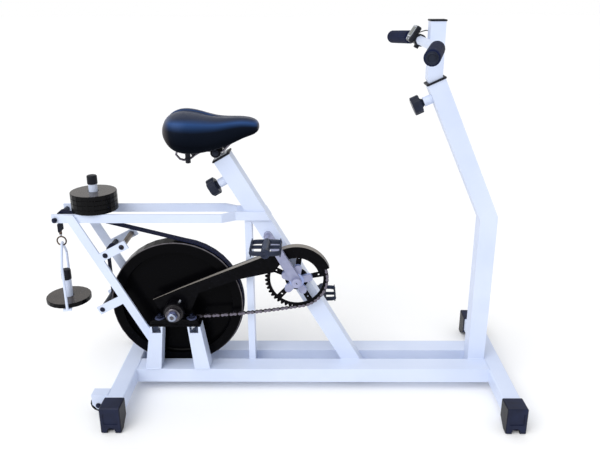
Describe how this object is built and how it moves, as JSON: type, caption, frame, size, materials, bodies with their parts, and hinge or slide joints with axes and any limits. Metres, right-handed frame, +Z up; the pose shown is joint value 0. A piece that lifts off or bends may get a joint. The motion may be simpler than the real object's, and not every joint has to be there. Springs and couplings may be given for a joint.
{
  "type": "upright exercise bike",
  "caption": "Upright exercise bike with a heavy flywheel, a strap brake loaded by a hanging weight basket, spare weights on a peg, saddle and handlebar adjustable in height.",
  "frame": {"origin": "centre of the bounding box on the floor", "axes": "+X to the front, +Z up, the chain side at -Y"},
  "size_m": [1.3831, 0.7072, 1.067],
  "materials": {
    "white_powder": "satin powder coat",
    "moulded_plastic": "moulded",
    "black_enamel": "gloss enamel",
    "flywheel_iron": "gloss enamel",
    "weight_iron": "black lacquer",
    "chain_steel": "oiled",
    "zinc_steel": "zinc plated",
    "crank_aluminium": "painted silver",
    "strap_webbing": "woven webbing",
    "saddle_leatherette": "soft leatherette",
    "grip_foam": "foam",
    "cable_sheath": "smooth"
  },
  "bodies": {
    "frame": {"rear_cross_tube": "white_powder", "front_cross_tube": "white_powder", "base_rail_right": "white_powder", "base_rail_left": "white_powder", "foot_cap_rear_right": "moulded_plastic", "foot_cap_rear_left": "moulded_plastic", "foot_cap_front_right": "moulded_plastic", "foot_cap_front_left": "moulded_plastic", "front_post": "white_powder", "front_post_collar": "moulded_plastic", "seat_tube": "white_powder", "seat_tube_collar": "moulded_plastic", "seat_strut": "white_powder", "upper_rail_right": "white_powder", "upper_rail_left": "white_powder", "diagonal_rail_right": "white_powder", "diagonal_rail_left": "white_powder", "bearing_plate_right": "black_enamel", "bearing_plate_left": "black_enamel", "pillow_block_right": "black_enamel", "pillow_block_left": "black_enamel", "weight_peg": "white_powder", "weight_peg_cap": "moulded_plastic", "chain_guard": "black_enamel", "drive_chain": "chain_steel", "brake_strap": "strap_webbing"},
    "handlebar_unit": {"handlebar_stem": "white_powder", "handlebar": "white_powder", "grip_right": "grip_foam", "grip_left": "grip_foam", "console": "moulded_plastic", "console_cable": "cable_sheath"},
    "post_knob_unit": {"post_knob": "moulded_plastic"},
    "seat_post_unit": {"seat_post": "zinc_steel"},
    "saddle": {"saddle_clamp": "black_enamel", "saddle_rails": "zinc_steel", "saddle_cover": "saddle_leatherette"},
    "seat_knob_unit": {"seat_knob": "moulded_plastic"},
    "flywheel_unit": {"flywheel": "flywheel_iron", "flywheel_axle": "zinc_steel", "drive_sprocket": "chain_steel"},
    "crank_unit": {"right_crank": "crank_aluminium", "left_crank": "crank_aluminium", "chainring": "black_enamel"},
    "pedal_right_unit": {"pedal_right": "moulded_plastic"},
    "pedal_left_unit": {"pedal_left": "moulded_plastic"},
    "hanger": {"hanger_ring": "zinc_steel", "hanger_frame": "white_powder", "hanger_peg_cap": "moulded_plastic"},
    "hanger_weight_unit": {"hanger_weight": "weight_iron"},
    "top_roller_unit": {"top_roller": "zinc_steel"},
    "mid_roller_rear_unit": {"mid_roller_rear": "zinc_steel"},
    "mid_roller_front_unit": {"mid_roller_front": "zinc_steel"},
    "lower_roller_unit": {"lower_roller": "zinc_steel"},
    "transport_wheel_right_unit": {"transport_wheel_right": "moulded_plastic"},
    "transport_wheel_left_unit": {"transport_wheel_left": "moulded_plastic"},
    "stack_plate_1_unit": {"stack_plate_1": "weight_iron"},
    "stack_plate_2_unit": {"stack_plate_2": "weight_iron"},
    "stack_plate_3_unit": {"stack_plate_3": "weight_iron"},
    "stack_plate_4_unit": {"stack_plate_4": "weight_iron"}
  },
  "joints": [
    {"name": "flywheel_spin", "type": "hinge", "parent": "frame", "child": "flywheel_unit", "pos_m": [-0.2934, 0, 0.26], "axis": [0, 1, 0], "continuous": true},
    {"name": "crank_spin", "type": "hinge", "parent": "frame", "child": "crank_unit", "pos_m": [0.0646, 0, 0.352], "axis": [0, 1, 0], "continuous": true},
    {"name": "pedal_right_spin", "type": "hinge", "parent": "crank_unit", "child": "pedal_right_unit", "pos_m": [-0.01591, -0.155, 0.49258], "axis": [0, 1, 0], "continuous": true},
    {"name": "pedal_left_spin", "type": "hinge", "parent": "crank_unit", "child": "pedal_left_unit", "pos_m": [0.14511, 0.155, 0.21142], "axis": [0, 1, 0], "continuous": true},
    {"name": "handlebar_height", "type": "slide", "parent": "frame", "child": "handlebar_unit", "axis": [-0.4107, 0, 0.9118], "range_m": [0, 0.1]},
    {"name": "post_knob_pull", "type": "slide", "parent": "frame", "child": "post_knob_unit", "axis": [-0.9118, 0, -0.4107], "range_m": [0, 0.008], "stiffness_N_per_m": 1500, "springref_m": -0.004},
    {"name": "seat_height", "type": "slide", "parent": "frame", "child": "seat_post_unit", "axis": [-0.5045, 0, 0.8634], "range_m": [0, 0.14]},
    {"name": "saddle_tilt", "type": "hinge", "parent": "seat_post_unit", "child": "saddle", "pos_m": [-0.158, 0, 0.7225], "axis": [0, 1, 0], "range_deg": [-8, 6]},
    {"name": "seat_knob_pull", "type": "slide", "parent": "frame", "child": "seat_knob_unit", "axis": [-0.8634, 0, -0.5045], "range_m": [0, 0.008], "stiffness_N_per_m": 1500, "springref_m": -0.004},
    {"name": "hanger_swing", "type": "hinge", "parent": "frame", "child": "hanger", "pos_m": [-0.6264, 0, 0.477], "axis": [0, 1, 0], "range_deg": [-5, 20]},
    {"name": "hanger_weight_lift", "type": "slide", "parent": "hanger", "child": "hanger_weight_unit", "axis": [0, 0, 1], "range_m": [0, 0.1]},
    {"name": "top_roller_spin", "type": "hinge", "parent": "frame", "child": "top_roller_unit", "pos_m": [-0.6154, 0, 0.537], "axis": [0, 1, 0], "continuous": true},
    {"name": "mid_roller_rear_spin", "type": "hinge", "parent": "frame", "child": "mid_roller_rear_unit", "pos_m": [-0.4831, 0, 0.4308], "axis": [0, 1, 0], "continuous": true},
    {"name": "mid_roller_front_spin", "type": "hinge", "parent": "frame", "child": "mid_roller_front_unit", "pos_m": [-0.43416, 0, 0.45655], "axis": [0, 1, 0], "continuous": true},
    {"name": "lower_roller_spin", "type": "hinge", "parent": "frame", "child": "lower_roller_unit", "pos_m": [-0.5084, 0, 0.2596], "axis": [0, 1, 0], "continuous": true},
    {"name": "transport_wheel_right_spin", "type": "hinge", "parent": "frame", "child": "transport_wheel_right_unit", "pos_m": [-0.4954, -0.2056, 0.04], "axis": [0, 1, 0], "continuous": true},
    {"name": "transport_wheel_left_spin", "type": "hinge", "parent": "frame", "child": "transport_wheel_left_unit", "pos_m": [-0.4954, 0.2056, 0.04], "axis": [0, 1, 0], "continuous": true},
    {"name": "stack_plate_1_lift", "type": "slide", "parent": "frame", "child": "stack_plate_1_unit", "axis": [0, 0, 1], "range_m": [0, 0.08]},
    {"name": "stack_plate_2_lift", "type": "slide", "parent": "stack_plate_1_unit", "child": "stack_plate_2_unit", "axis": [0, 0, 1], "range_m": [0, 0.08]},
    {"name": "stack_plate_3_lift", "type": "slide", "parent": "stack_plate_2_unit", "child": "stack_plate_3_unit", "axis": [0, 0, 1], "range_m": [0, 0.08]},
    {"name": "stack_plate_4_lift", "type": "slide", "parent": "stack_plate_3_unit", "child": "stack_plate_4_unit", "axis": [0, 0, 1], "range_m": [0, 0.08]}
  ],
  "couplings": [
    {"joint": "crank_spin", "follows": "flywheel_spin", "ratio": 0.36364}
  ]
}
